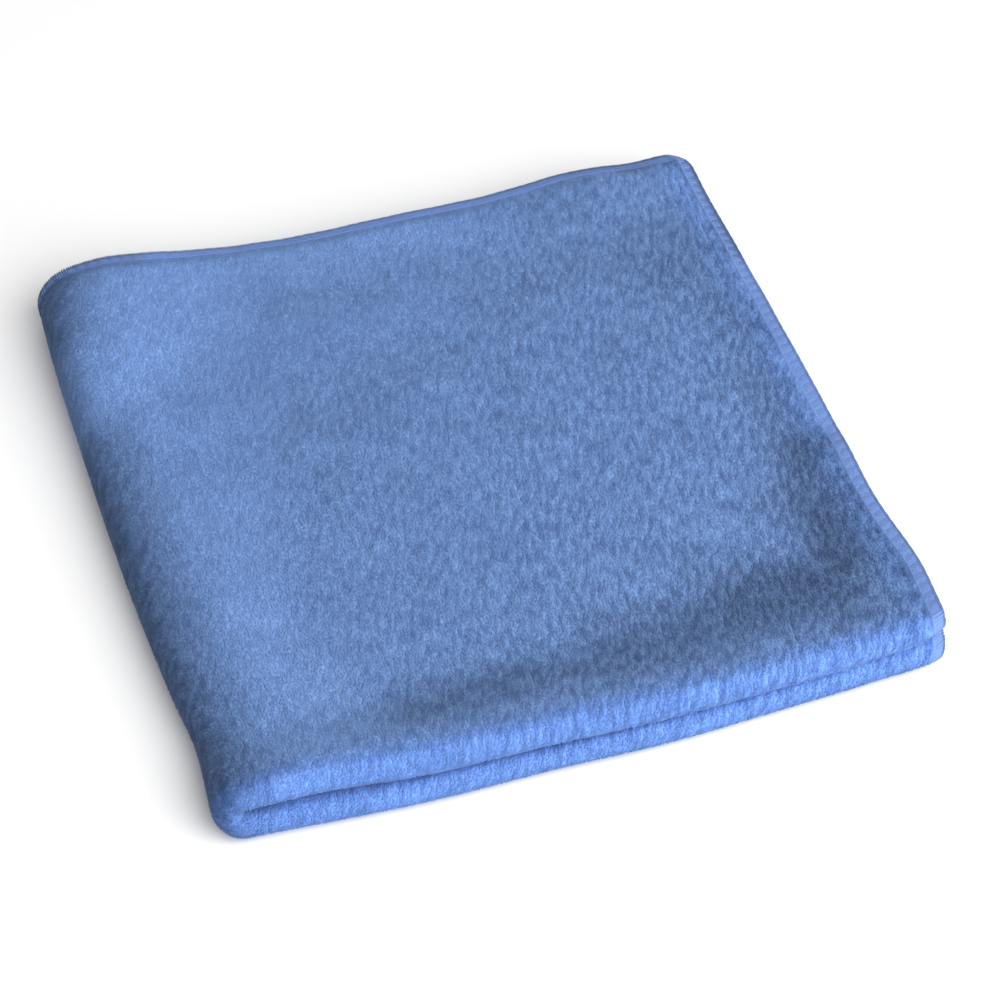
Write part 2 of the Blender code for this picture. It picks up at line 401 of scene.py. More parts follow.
class MicrofibreStage(bpy.types.PropertyGroup):
    """The camera and the lights."""
    azimuth: turned(-17.99, "Azimuth", "Direction that the camera looks from, 0 being the front")
    elevation: turned(47.25, "Elevation", "Height of the camera over the floor")
    distance: metres(1.0077, "Distance", "From the camera to the point that it looks at")
    aim_right: number(0.00606, "Aim right", "Point that the camera looks at, from the middle")
    aim_back: number(-0.00662, "Aim back", "Point that the camera looks at, from the middle")
    lens: number(131.66, "Lens", "Focal length in millimetres on a 36 mm sensor")
    key_azimuth: turned(28.0, "Key azimuth", "Direction of the main light, 0 being the front")
    key_elevation: turned(38.0, "Key elevation", "Height of the main light")
    key_power: number(43.0, "Key power", "Power of the main light in watts")
    sky: number(0.49, "Sky", "Strength of the even light all round")


# ---- The folds ----

def smooth(share):
    """Rises from 0 to 1 without a kink at either end."""
    share = np.clip(share, 0.0, 1.0)
    return share * share * (3.0 - 2.0 * share)


def read(table, name, at):
    """Reads a column of a table on a smooth curve through its rows; column 0 is the place."""
    places = np.array([row[0] for row in table])
    values = np.array([getattr(row, name) for row in table])
    slopes = np.gradient(values, places)
    at = np.clip(at, places[0], places[-1])
    row = np.clip(np.searchsorted(places, at) - 1, 0, len(places) - 2)
    length = places[row + 1] - places[row]
    share = (at - places[row]) / length
    ease = smooth(share)
    start = slopes[row] * length * share * (1.0 - share) ** 2
    end = slopes[row + 1] * length * share ** 2 * (1.0 - share)
    return values[row] * (1.0 - ease) + values[row + 1] * ease + start - end


def ramp(table, name, at):
    """Reads a column of a table on straight lines from row to row; column 0 is the place."""
    return np.interp(at, [row[0] for row in table], [getattr(row, name) for row in table])


def stations(flat, arc):
    """Turns a flat place into an angle round the fold and a share of the way to the hem."""
    angle = np.sign(flat) * np.minimum(np.abs(flat) / arc, 1.0) * pi / 2
    share = np.maximum(np.abs(flat) - arc, 0.0) / (HALF_SIDE - arc)
    return angle, share


def inside_edge(across, along):
    """Distance of a flat place from the nearest cut edge, and from each pair of edges."""
    from_sides = HALF_SIDE - np.abs(across)
    from_ends = HALF_SIDE - np.abs(along)
    return np.minimum(from_sides, from_ends), from_sides, from_ends


def inside_for_pile(across, along):
    """The same distance for the pile and the tones, which reach further out along the back hems."""
    from_sides, from_ends = inside_edge(across, along)[1:]
    return np.minimum(from_sides, from_ends + BACK_CREEP)


def thickness(inside):
    """Thickness of the sheet at a distance inside its cut edge."""
    return SHEET * ramp(HEM, "thickness", inside)


def round_cut_corners(across, along):
    """Moves the corner points in, on both axes, so that the cut corners are round."""
    near_across = np.clip((CORNER_ROUND - across) / CORNER_ROUND, 0.0, 1.0)
    near_along = np.clip((CORNER_ROUND - along) / CORNER_ROUND, 0.0, 1.0)
    return CORNER_ROUND * (1.0 - 0.5 ** 0.5) * near_across ** 2 * near_along ** 2


def fold_to_front(angle, share, side):
    """First fold. Returns the place behind the fold and the offset outward from the inner face."""
    radius = (SHEET + FRONT_GAP) / 2
    flat = share * (HALF_SIDE - radius * pi / 2)
    drop = (FRONT_GAP - LAYER_GAP) * smooth(flat / FRONT_DROP)
    outward = np.sin(angle)
    middle = SHEET + FRONT_GAP / 2 + radius * outward - drop * (angle > 0)
    back = SHEET / 2 + radius - (radius + side) * np.cos(angle) + flat
    return back, middle + side * outward, middle


def stack_height(back):
    """Height of two layers with the air between them, at a place behind the front fold."""
    radius = (SHEET + FRONT_GAP) / 2
    flat = np.maximum(back - SHEET / 2 - radius, 0.0)
    return 2 * SHEET + FRONT_GAP - (FRONT_GAP - LAYER_GAP) * smooth(flat / FRONT_DROP)


def hem_sink(inside_across, inside_along, back, upper, outer):
    """How far a layer sinks at the hems, where all the layers below it are thinner."""
    hems = [np.interp(inside, [HEM[1].inside, HEM[-1].inside], [THINNED, 0.0]) * SHEET
            for inside in (inside_across, inside_along)]
    thinner = np.maximum(hems[0] * smooth((back - SUNK_FROM) / SUNK_REACH), hems[1])
    layer = (1.0 - upper) * (1.0 - outer) + upper * (2.0 + outer)
    return thinner * (layer + 0.5)


def swell(right, back):
    """Height of the upper half's soft swells."""
    total = np.zeros_like(right)
    for row in SWELLS:
        x = (right - row.right) * np.cos(row.turn) + (back - row.back) * np.sin(row.turn)
        y = (back - row.back) * np.cos(row.turn) - (right - row.right) * np.sin(row.turn)
        total += row.height * np.exp(-((x / row.across) ** 2 + (y / row.along) ** 2))
    return total


def fold_over_spine(angle, share, back, offset, middle):
    """Second fold. Wraps the two-layer stack around the spine."""
    stack = stack_height(back)
    air = read(SPINE, "air", back)
    neutral = air / 2 + middle
    radius = air / 2 + offset
    flat = share * (HALF_SIDE - neutral * pi / 2)
    right = air / 2 + stack - radius * np.cos(angle) + flat
    height = stack + air / 2 + radius * np.sin(angle)
    narrowing = (air - HALVES_GAP) * smooth(flat / SPINE_DROP)
    lift = swell(right, back) * smooth(flat / SPINE_DROP)
    outer = np.clip((middle - SHEET / 2) / (stack - SHEET), 0.0, 1.0)
    height += (angle > 0) * (lift * (1.0 - OUTER_SHARE + OUTER_SHARE * outer) - narrowing)
    return right, height


def layer_slide(table, at, upper, outer):
    """Blends a table's four layers by how far a point lies in the upper half and outside."""
    below = read(table, "lower_inner", at) * (1.0 - outer) + read(table, "bottom", at) * outer
    above = read(table, "upper_inner", at) * (1.0 - outer) + read(table, "top", at) * outer
    return below * (1.0 - upper) + above * upper


def near_line(row, right, back):
    """1 on the line that a table's row names, falling to nothing at about twice its reach."""
    run = np.array([row.right_b - row.right_a, row.back_b - row.back_a])
    x = right - row.right_a
    y = back - row.back_a
    share = np.clip((x * run[0] + y * run[1]) / (run @ run), 0.0, 1.0)
    away = np.hypot(x - share * run[0], y - share * run[1]) / row.reach
    return np.exp(-away ** 2)


def strongest(table, name, right, back):
    """The greatest and the least of a table's strokes at each place; both are 0 off its lines."""
    strokes = [getattr(row, name) * near_line(row, right, back) for row in table]
    return np.maximum(np.max(strokes, axis=0), 0.0), np.minimum(np.min(strokes, axis=0), 0.0)


def creases(right, back, side):
    """Height of the troughs and ridges; only the sheet's pile side sinks into a trough."""
    ridge, trough = strongest(CREASES, "height", right, back)
    return ridge + trough * (side > 0)


def painted_light_and_nap(across, along):
    """Painted light and shade of the pile and the hem at a flat place, from the strokes and the hem's edge
    and groove, with some of the way the pile lies.
    """
    paler, darker = strongest(LIGHT_AND_NAP_STROKES, "tone", across, along)
    return paler + darker + ramp(HEM_BAND_AND_SHADE, "tone", inside_for_pile(across, along))


def mottle(across, along):
    """How much the pile's tone differs from spot to spot: most at the right and where it is dark."""
    to_right = MOTTLE_RIGHT * np.abs(across) / HALF_SIDE
    to_back = MOTTLE_BACK * np.abs(along) / HALF_SIDE
    paler, darker = strongest(LIGHT_AND_NAP_STROKES, "tone", across, along)
    return np.clip(MOTTLE_LEFT + to_right - to_back - MOTTLE_DARK * (paler + darker), *MOTTLE_RANGE)


def bluer_painted_light(across, along):
    """How much deeper the blue is, as painted light: on the front folds, and a little along the right hem.
    """
    shares = [row.share * (1.0 - smooth((away - row.full) / row.fading))
              for row, away in zip(BLUER_PAINTED_LIGHT, (np.abs(along), HALF_SIDE - across))]
    return np.maximum(*shares)


def waves(across, along):
    """Slow unevenness of the cloth at a flat place."""
    total = np.zeros_like(across)
    for row in WAVES:
        run = across * cos(2 * pi * row.turn) + along * sin(2 * pi * row.turn)
        total += row.height * np.sin(2 * pi * (run / row.length + row.phase))
    return total


def fold(across, along, side, relief=1.0):
    """Carries flat places, raised by side over the sheet's middle, to their folded place."""
    angle_across, share_across = stations(across, SPINE_ARC)
    angle_along, share_along = stations(along, FRONT_ARC)
    inside_across, inside_along = inside_edge(across, along)[1:]

    back, offset, middle = fold_to_front(angle_along, share_along, side)
    right, height = fold_over_spine(angle_across, share_across, back, offset, middle)

    upper = (1.0 + np.sin(angle_across)) / 2
    outer = (1.0 + np.sin(angle_along)) / 2
    on_top = smooth(across / SPINE_ARC / TOP_ARCS) * smooth(along / FRONT_ARC)
    uneven = creases(right, back, side) + waves(across, along)
    height += relief * on_top * uneven
    height -= hem_sink(inside_across, inside_along, back, upper, outer)
    corner = round_cut_corners(inside_across, inside_along)
    to_right = smooth(right / HALF_SIDE)
    to_back = smooth(back / HALF_SIDE)
    spine_in = read(SPINE, "inward", back)
    right_out = layer_slide(RIGHT_HEMS, back, upper, outer)
    front_in = read(FRONT, "lower", right) * (1.0 - upper) + read(FRONT, "upper", right) * upper
    back_out = read(BACK, "out", right) + layer_slide(BACK_HEMS, right, upper, outer)
    folded_right = right + spine_in * (1.0 - to_right) + right_out * to_right - corner
    folded_back = back + front_in * (1.0 - to_back) + back_out * to_back - corner
    return np.stack([folded_right, folded_back, height], axis=-1)


def grid_lines(arc):
    """Flat places of the grid lines from one hem over a fold to the other."""
    halves = []
    for step in (COARSE_STEP, FINE_STEP):
        count = round((HALF_SIDE - HEM_LINES[0] - arc) / step)
        flat = np.linspace(arc, HALF_SIDE - HEM_LINES[0], count + 1)
        hem = HALF_SIDE - np.array(HEM_LINES[1:])
        halves.append(np.concatenate([np.linspace(0.0, arc, FOLD_LINES + 1), flat[1:], hem]))
    return np.concatenate([-halves[0][:0:-1], halves[1]])


def sheet_grid():
    """The flat places of the sheet's grid, as two arrays of rows and columns."""
    return np.meshgrid(grid_lines(SPINE_ARC), grid_lines(FRONT_ARC), indexing="ij")


def centring():
    """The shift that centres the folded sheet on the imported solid."""
    across, along = sheet_grid()
    half = thickness(inside_edge(across, along)[0]) / 2
    hull = np.concatenate([fold(across, along, side * half, relief=0.0).reshape(-1, 3) for side in (1, -1)])
    low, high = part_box(CLOTH_NODE)
    shift = (np.array(low) + np.array(high) - hull.min(axis=0) - hull.max(axis=0)) / 2
    shift[2] = low[2]
    return shift


SHIFT = centring()


# ---- Node trees ----

def pick(sockets, key):
    """A socket by its number, or the one in use with that name."""
    if isinstance(key, int):
        return sockets[key]
    return next(socket for socket in sockets if socket.name == key and socket.enabled)


class Value:
    """An output socket. Arithmetic on it adds Math nodes."""

    def __init__(self, nodes, socket):
        self.nodes = nodes
        self.socket = socket

    def other(self, name):
        """Another output of the same node."""
        return Value(self.nodes, pick(self.socket.node.outputs, name))

    def __add__(self, term):
        return self.nodes.math("ADD", self, term)

    def __sub__(self, term):
        return self.nodes.math("SUBTRACT", self, term)

    def __rsub__(self, term):
        return self.nodes.math("SUBTRACT", term, self)

    def __mul__(self, term):
        return self.nodes.math("MULTIPLY", self, term)

    __radd__ = __add__
    __rmul__ = __mul__


class Nodes:
    """Adds nodes to one tree."""

    def __init__(self, tree):
        self.tree = tree

    def add(self, kind, settings=None, values=None, output=None):
        """Adds a node: its settings first, then its sockets' values or links."""
        node = self.tree.nodes.new(kind)
        for name, setting in (settings or {}).items():
            setattr(node, name, setting)
        for key, value in (values or {}).items():
            socket = pick(node.inputs, key)
            if isinstance(value, Value):
                self.tree.links.new(value.socket, socket)
            else:
                socket.default_value = value
        used = [socket for socket in node.outputs if socket.enabled]
        if output is not None:
            return Value(self, pick(node.outputs, output))
        return Value(self, used[0]) if used else None

    def attribute(self, name, kind="FLOAT"):
        """A named attribute, in a geometry tree."""
        return self.add("GeometryNodeInputNamedAttribute", {"data_type": kind}, {"Name": name})

    def given(self, name, output):
        """A named attribute, in a material."""
        return self.add("ShaderNodeAttribute", {"attribute_name": name}, output=output)

    def store(self, geometry, name, value, kind="FLOAT", domain="POINT"):
        """Stores a named attribute, in a geometry tree."""
        return self.add("GeometryNodeStoreNamedAttribute", {"data_type": kind, "domain": domain},
                        {"Geometry": geometry, "Name": name, "Value": value})

    def math(self, operation, *terms):
        """Arithmetic on numbers."""
        return self.add("ShaderNodeMath", {"operation": operation}, dict(enumerate(terms)))

    def vector(self, operation, *terms):
        """Arithmetic on vectors."""
        return self.add("ShaderNodeVectorMath", {"operation": operation}, dict(enumerate(terms)))

    def scaled(self, vector, factor):
        """A vector times a number."""
        return self.add("ShaderNodeVectorMath", {"operation": "SCALE"}, {0: vector, "Scale": factor})

    def mix(self, kind, factor, first, second):
        """Mixes two colours or two vectors; the node keeps the factor between 0 and 1."""
        return self.add("ShaderNodeMix", {"data_type": kind}, {"Factor": factor, "A": first, "B": second})

    def xyz(self, x=0.0, y=0.0, z=0.0):
        """A vector of three numbers."""
        return self.add("ShaderNodeCombineXYZ", {}, {"X": x, "Y": y, "Z": z})

    def part(self, vector, axis):
        """One axis of a vector."""
        return self.add("ShaderNodeSeparateXYZ", {}, {"Vector": vector}, output=axis)


def geometry_tree(name, inputs):
    """A Geometry Nodes tree; returns its maker and its inputs by name."""
    tree = bpy.data.node_groups.new(name, "GeometryNodeTree")
    tree.interface.new_socket(name="Geometry", in_out="INPUT", socket_type="NodeSocketGeometry")
    for label, kind in inputs.items():
        tree.interface.new_socket(name=label, in_out="INPUT", socket_type="NodeSocket" + kind)
    tree.interface.new_socket(name="Geometry", in_out="OUTPUT", socket_type="NodeSocketGeometry")
    nodes = Nodes(tree)
    start = nodes.add("NodeGroupInput")
    return nodes, {label: start.other(label) for label in ["Geometry", *inputs]}


def finish_tree(nodes, geometry, material):
    """Ends a tree in Realize Instances and Set Material."""
    geometry = nodes.add("GeometryNodeRealizeInstances", {}, {"Geometry": geometry})
    geometry = nodes.add("GeometryNodeSetMaterial", {}, {"Geometry": geometry, "Material": material})
    nodes.add("NodeGroupOutput", {}, {"Geometry": geometry})
    return nodes.tree


def add_object(name, data):
    """A new object in the scene."""
    item = bpy.data.objects.new(name, data)
    bpy.context.scene.collection.objects.link(item)
    return item


def grow(name, mesh, tree, values):
    """Runs a tree on a mesh and makes a plain object of the result."""
    piece = add_object(name, mesh)
    modifier = piece.modifiers.new("Grow", "NODES")
    modifier.node_group = tree
    for socket in tree.interface.items_tree:
        if socket.in_out == "INPUT" and socket.name in values:
            modifier[socket.identifier] = values[socket.name]
    graph = bpy.context.evaluated_depsgraph_get()
    evaluated = piece.evaluated_get(graph)
    grown = bpy.data.meshes.new_from_object(evaluated, preserve_all_data_layers=True, depsgraph=graph)
    piece.modifiers.remove(modifier)
    piece.data = grown
    bpy.data.meshes.remove(mesh)
    grown.name = name
    if not grown.polygons:
        raise RuntimeError(f"{name} came out empty")
    return piece


def tuft_tree():
    """Scatters small closed tufts over one part of the sheet."""
    nodes, given = geometry_tree("Pile tufts", {
        "Part": "Int", "Spacing": "Float", "Width": "Float", "Height": "Float", "Root": "Float",
        "Lean": "Float", "Seed": "Int", "Material": "Material",
    })
    part = nodes.add("FunctionNodeCompare", {"data_type": "INT", "operation": "EQUAL"},
                     {"A": nodes.attribute("pile_part", "INT"), "B": given["Part"]})
    carrier = nodes.add("GeometryNodeSeparateGeometry", {"domain": "FACE"},
                        {"Geometry": given["Geometry"], "Selection": part})
    points = nodes.add("GeometryNodeDistributePointsOnFaces", {"distribute_method": "POISSON"}, {
        "Mesh": carrier, "Distance Min": given["Spacing"],
        "Density Max": CROWDING * nodes.math("POWER", given["Spacing"], -2.0),
        "Density Factor": nodes.attribute("pile"), "Seed": given["Seed"],
    })

    place = nodes.add("GeometryNodeInputPosition")
    level = nodes.part(place, "Z")
    ball = nodes.add("GeometryNodeMeshUVSphere", {}, {"Segments": 4, "Rings": 2, "Radius": BALL_RADIUS})
    ball = nodes.store(ball, "tip", level + BALL_RADIUS)
    ball = nodes.store(ball, "under", 1.0 - (level + BALL_RADIUS), domain="FACE")
    ball = nodes.store(ball, "tuft_place", place, "FLOAT_VECTOR")
    tuft = nodes.add("GeometryNodeTransform", {}, {
        "Geometry": ball,
        "Translation": nodes.xyz(z=given["Height"] * BALL_RADIUS - given["Root"]),
        "Scale": nodes.xyz(given["Width"], given["Width"], given["Height"]),
    })
    lean = given["Lean"]
    other_way = lean * -1.0
    tilt = nodes.add("FunctionNodeRandomValue", {"data_type": "FLOAT_VECTOR"}, {
        "Min": nodes.xyz(other_way, other_way, 0.0), "Max": nodes.xyz(lean, lean, 2 * pi),
        "Seed": given["Seed"] + 1.0,
    })
    turn = nodes.add("FunctionNodeRotateRotation", {"rotation_space": "LOCAL"},
                     {"Rotation": points.other("Rotation"), "Rotate By": tilt})
    size = nodes.add("FunctionNodeRandomValue", {"data_type": "FLOAT_VECTOR"}, {
        "Min": (0.85, 0.60, 0.80), "Max": (1.25, 0.95, 1.12), "Seed": given["Seed"] + 2.0,
    })
    tufts = nodes.add("GeometryNodeInstanceOnPoints", {}, {
        "Points": points, "Instance": tuft, "Rotation": turn, "Scale": size,
    })
    tone = nodes.add("FunctionNodeRandomValue", {"data_type": "FLOAT"}, {"Seed": given["Seed"] + 3.0})
    tufts = nodes.store(tufts, "tone", tone, domain="INSTANCE")
    pile = nodes.add("GeometryNodeRealizeInstances", {}, {"Geometry": tufts})

    grain = nodes.add("ShaderNodeTexNoise", {}, {"Vector": place, "Scale": 1400.0, "Detail": 0.0},
                      output="Color")
    shove = nodes.scaled(nodes.vector("SUBTRACT", grain, (0.5, 0.5, 0.5)), factor=0.0003)
    pile = nodes.add("GeometryNodeSetPosition", {}, {"Geometry": pile, "Offset": shove})
    lift = nodes.xyz(z=nodes.math("MAXIMUM", level * -1.0, 0.0))
    pile = nodes.add("GeometryNodeSetPosition", {}, {"Geometry": pile, "Offset": lift})
    pile = nodes.add("GeometryNodeSetShadeSmooth", {}, {"Geometry": pile})
    pile = lay_out_pile(nodes, pile)
    return finish_tree(nodes, pile, given["Material"])


def lay_out_pile(nodes, pile):
    """Gives each tuft its own small place on a map of the flat cloth; its hidden half goes aside."""
    area = (0.96, 0.92, 0.0)
    margin = (0.02, 0.02, 0.0)
    strip = (1.0, 0.03, 0.0)
    strip_start = (0.0, 0.965, 0.0)
    tuft_width = 0.006
    least_range = (1e-6, 1e-6, 1e-6)
    flat = nodes.attribute("flat_place", "FLOAT_VECTOR")
    reach = nodes.add("GeometryNodeAttributeStatistic", {"data_type": "FLOAT_VECTOR"},
                      {"Geometry": pile, "Attribute": flat})
    share = nodes.vector("DIVIDE", nodes.vector("SUBTRACT", flat, reach.other("Min")),
                         nodes.vector("MAXIMUM", reach.other("Range"), least_range))
    local = nodes.scaled(nodes.attribute("tuft_place", "FLOAT_VECTOR"), tuft_width)
    own = nodes.vector("ADD", nodes.vector("MULTIPLY", share, area), local)
    own = nodes.vector("ADD", own, margin)
    aside = nodes.vector("ADD", nodes.vector("MULTIPLY", own, strip), strip_start)
    hidden = nodes.math("GREATER_THAN", nodes.attribute("under"), 0.5)
    return nodes.store(pile, "OFBake", nodes.mix("VECTOR", hidden, own, aside), "FLOAT2", "CORNER")


def thread_tree():
    """Runs a round thread along a line of edges."""
    area = 0.96
    width_on_map = 0.001
    nodes, given = geometry_tree("Thread", {"Thickness": "Float", "Sides": "Int", "Material": "Material"})
    line = nodes.add("GeometryNodeMeshToCurve", {}, {"Mesh": given["Geometry"]})
    line = nodes.store(line, "run", nodes.add("GeometryNodeSplineParameter", output="Length"))
    ring = nodes.add("GeometryNodeCurvePrimitiveCircle", {"mode": "RADIUS"}, {
        "Resolution": given["Sides"], "Radius": given["Thickness"] * 0.5,
    })
    ring = nodes.store(ring, "round", nodes.add("GeometryNodeSplineParameter", output="Factor"))
    tube = nodes.add("GeometryNodeCurveToMesh", {}, {"Curve": line, "Profile Curve": ring})
    tube = nodes.add("GeometryNodeSetShadeSmooth", {}, {"Geometry": tube})
    flat = nodes.attribute("flat_place", "FLOAT_VECTOR")
    spot = nodes.vector("ADD", nodes.scaled(flat, area / CLOTH_SIDE), (0.5, 0.5, 0.0))
    spot = nodes.vector("ADD", spot, nodes.xyz(nodes.attribute("round") * width_on_map))
    tube = nodes.store(tube, "OFBake", spot, "FLOAT2", "CORNER")
    return finish_tree(nodes, tube, given["Material"])


# ---- Finishes ----

def plain_material(name, constants):
    """A new material with these constants on its shader; returns both."""
    material = bpy.data.materials.new(name)
    material.use_nodes = True
    shader = material.node_tree.nodes["Principled BSDF"]
    for socket, value in constants.items():
        shader.inputs[socket].default_value = value
    return material, shader


def cloth_material(finish, paint, colours):
    """A cloth finish; paint adds its nodes and returns its blue and what its bump follows."""
    constants = {"Roughness": finish.roughness, "Sheen Weight": finish.sheen, **SHINE}
    material, shader = plain_material(finish.name, constants)
    nodes = Nodes(material.node_tree)
    blue, relief = paint(nodes, colours)
    bump = nodes.add("ShaderNodeBump", {}, {"Strength": finish.bump, "Distance": finish.depth, **relief})
    for name, value in {"Base Color": blue, "Normal": bump}.items():
        nodes.tree.links.new(value.socket, shader.inputs[name])
    return material


def speckle(nodes, place, size, detail=1.0):
    """Noise from 0 to 1 with spots of about one size, in metres."""
    return nodes.add("ShaderNodeTexNoise", {}, {"Vector": place, "Scale": 0.5 / size, "Detail": detail})


def with_painted_light(nodes, blue):
    """A blue darkened by painted shade and paled by painted light at the place, with some of the way the
    pile lies.
    """
    return nodes.scaled(blue, nodes.given("painted_light_and_nap", "Fac") + 1.0)


def pile_colour(nodes, colours, place, light):
    """The pile's blue: light is 0 in its depth and 1 at its tips, which paints shade into the depth."""
    patch = speckle(nodes, place, size=0.009, detail=2.0)
    streaks = nodes.add("ShaderNodeMapping", {"vector_type": "TEXTURE"},
                        {"Vector": place, "Rotation": (0.0, 0.0, -0.35), "Scale": (0.74, 2.5, 1.0)})
    clump = speckle(nodes, streaks, size=0.0010)
    spread = (light * LIGHT_SHARE + clump * CLUMP_SHARE - MOTTLE_MIDDLE) * nodes.given("mottle", "Fac")
    amount = spread + patch * PATCH_SHARE + MIDDLE_SHARE
    blue = nodes.mix("RGBA", amount, (*colours.deep, 1.0), (*colours.face, 1.0))
    # painted light: a deeper blue on the front folds and beside the right hem
    deeper = nodes.vector("MULTIPLY", blue, DEEPER_BLUE)
    return with_painted_light(nodes, nodes.mix("RGBA", nodes.given("bluer_painted_light", "Fac"), blue, deeper))


def paint_pile(nodes, colours):
    """Matt microfibre loops: roots darkened by painted shade down in the pile, paler tips, and a tone for
    each tuft.
    """
    light = nodes.given("tip", "Fac") * TIP_LIGHT + nodes.given("tone", "Fac") * TUFT_LIGHT
    blue = pile_colour(nodes, colours, nodes.given("flat_place", "Vector"), light)
    own = nodes.add("ShaderNodeNewGeometry", output="Normal")
    soft = nodes.mix("VECTOR", factor=0.92, first=own, second=nodes.given("stand", "Vector"))
    fibre = speckle(nodes, nodes.add("ShaderNodeTexCoord", output="Object"), size=0.0004)
    return blue, {"Height": fibre, "Normal": nodes.vector("NORMALIZE", soft)}


def paint_ground(nodes, colours):
    """The ground weave between the tufts, and the short pile of the inner sides."""
    flat = nodes.given("flat_place", "Vector")
    cell = nodes.add("ShaderNodeTexVoronoi", {"feature": "F1"}, {"Vector": flat, "Scale": 950.0},
                     output="Distance")
    nub = 1.0 - cell
    # painted shade: the weave is darker between its nubs, where its bump is low
    weave = pile_colour(nodes, colours, flat, nub * NUB_LIGHT)
    blue = nodes.mix("RGBA", nodes.given("band", "Fac"), weave, (*colours.seam, 1.0))
    return blue, {"Height": nub}


def paint_thread(nodes, colours):
    """Soft twisted polyester thread."""
    turns = nodes.given("run", "Fac") * (1.0 / TWIST_LENGTH) + nodes.given("round", "Fac")
    twist = nodes.math("SINE", turns * (2 * pi)) * 0.5 + 0.5
    worn = speckle(nodes, nodes.add("ShaderNodeTexCoord", output="Object"), size=0.004, detail=2.0)
    dark = [channel * DARK_THREAD for channel in colours.seam]
    # painted shade: darker in the grooves of the twist, where the bump is low; the worn spots are the
    # thread's own uneven tone
    amount = twist * TWIST_SHARE + worn * WORN_SHARE
    blue = nodes.mix("RGBA", amount, (*dark, 1.0), (*colours.seam, 1.0))
    return with_painted_light(nodes, blue), {"Height": twist}


# ---- Pieces ----

def add_attribute(mesh, name, values, kind="FLOAT", domain="POINT"):
    """Stores an array as a named attribute."""
    field = "vector" if kind == "FLOAT_VECTOR" else "value"
    mesh.attributes.new(name, kind, domain).data.foreach_set(field, values.ravel())


def pile_cover(across, along, hem_band):
    """How densely the pile side is tufted: none on the hem band or deep inside the folds."""
    cover = smooth((inside_for_pile(across, along) - hem_band) / PILE_THINNING)
    return cover * (along > INSIDE_PILE - INSIDE_MARGIN)


def step_cover(across, along, hem_band):
    """The same for the inner side, which shows only on the step beside the top layer's hem."""
    cover = smooth((inside_edge(across, along)[0] - hem_band) / PILE_THINNING)
    return cover * (across > STEP_PILE - STEP_MARGIN) * (along < 0)


def pile_parts(across, along, side):
    """Which part of the pile each face carries, from the flat place of its middle."""
    if side < 0:
        return np.where((across > STEP_PILE) & (along < 0), STEP, BARE)
    quarter = (across > HALF_SIDE / 2) + 2 * (along > HALF_SIDE / 2)
    parts = np.where(across > 0, quarter, UNDERSIDE)
    parts[(np.abs(across) < SPINE_ARC) | (along < FRONT_ARC)] = FOLDS
    parts[along < INSIDE_PILE] = BARE
    return parts


def sheet_mesh(settings):
    """The folded sheet as one closed mesh, with its flat places and its pile's parts."""
    across, along = sheet_grid()
    rows, columns = across.shape
    inside = inside_edge(across, along)[0]
    half = thickness(inside) / 2
    cover_out = pile_cover(across, along, settings.hem_band)
    cover_in = step_cover(across, along, settings.hem_band)
    outer = fold(across, along, half - settings.pile_rise * cover_out, settings.relief)
    inner = fold(across, along, settings.pile_rise * cover_in - half, settings.relief)
    points = np.concatenate([outer.reshape(-1, 3), inner.reshape(-1, 3)]) + SHIFT

    number_of = np.arange(rows * columns).reshape(rows, columns)
    round_a_face = [number_of[:-1, :-1], number_of[1:, :-1], number_of[1:, 1:], number_of[:-1, 1:]]
    outer_faces = np.stack(round_a_face, axis=-1).reshape(-1, 4)
    inner_faces = outer_faces[:, [0, 3, 2, 1]] + rows * columns
    rim = np.concatenate([number_of[:, 0], number_of[-1, 1:], number_of[-2::-1, -1], number_of[0, -2:0:-1]])
    after = np.roll(rim, -1)
    rim_faces = np.stack([after, rim, rim + rows * columns, after + rows * columns], axis=1)
    faces = np.concatenate([outer_faces, inner_faces, rim_faces])

    mesh = bpy.data.meshes.new(SHEET_PIECE)
    mesh.from_pydata(points, [], faces.tolist())
    flat = np.stack([across, along, np.zeros_like(across)], axis=-1).reshape(-1, 3)
    both = np.concatenate([flat, flat + (0.0, 0.0, CLOTH_SIDE)])    # so the sides' spots differ
    add_attribute(mesh, "flat_place", both, "FLOAT_VECTOR")
    add_attribute(mesh, "pile", np.concatenate([cover_out.ravel(), cover_in.ravel()]))
    # painted light and shade: the strokes' tones with the hem's edge and groove, and the folds' deeper
    # blue; the band's colour and the mottle are the cloth's own
    tones = {"band": ramp(HEM_BAND_AND_SHADE, "band", inside), "painted_light_and_nap": painted_light_and_nap(across, along),
             "bluer_painted_light": bluer_painted_light(across, along), "mottle": mottle(across, along)}
    for name, values in tones.items():
        add_attribute(mesh, name, np.tile(values.ravel(), 2))
    stand = np.empty(points.size)
    mesh.vertex_normals.foreach_get("vector", stand)
    add_attribute(mesh, "stand", stand, "FLOAT_VECTOR")
    middle = both[faces].mean(axis=1)
    parts = np.full(len(faces), BARE)
    count = len(outer_faces)
    parts[:count] = pile_parts(middle[:count, 0], middle[:count, 1], 1)
    parts[count:2 * count] = pile_parts(middle[count:2 * count, 0], middle[count:2 * count, 1], -1)
    add_attribute(mesh, "pile_part", parts.astype(np.int32), "INT", "FACE")
    lay_out_sheet(mesh, flat, faces, count)
    mesh.shade_smooth()
    return mesh


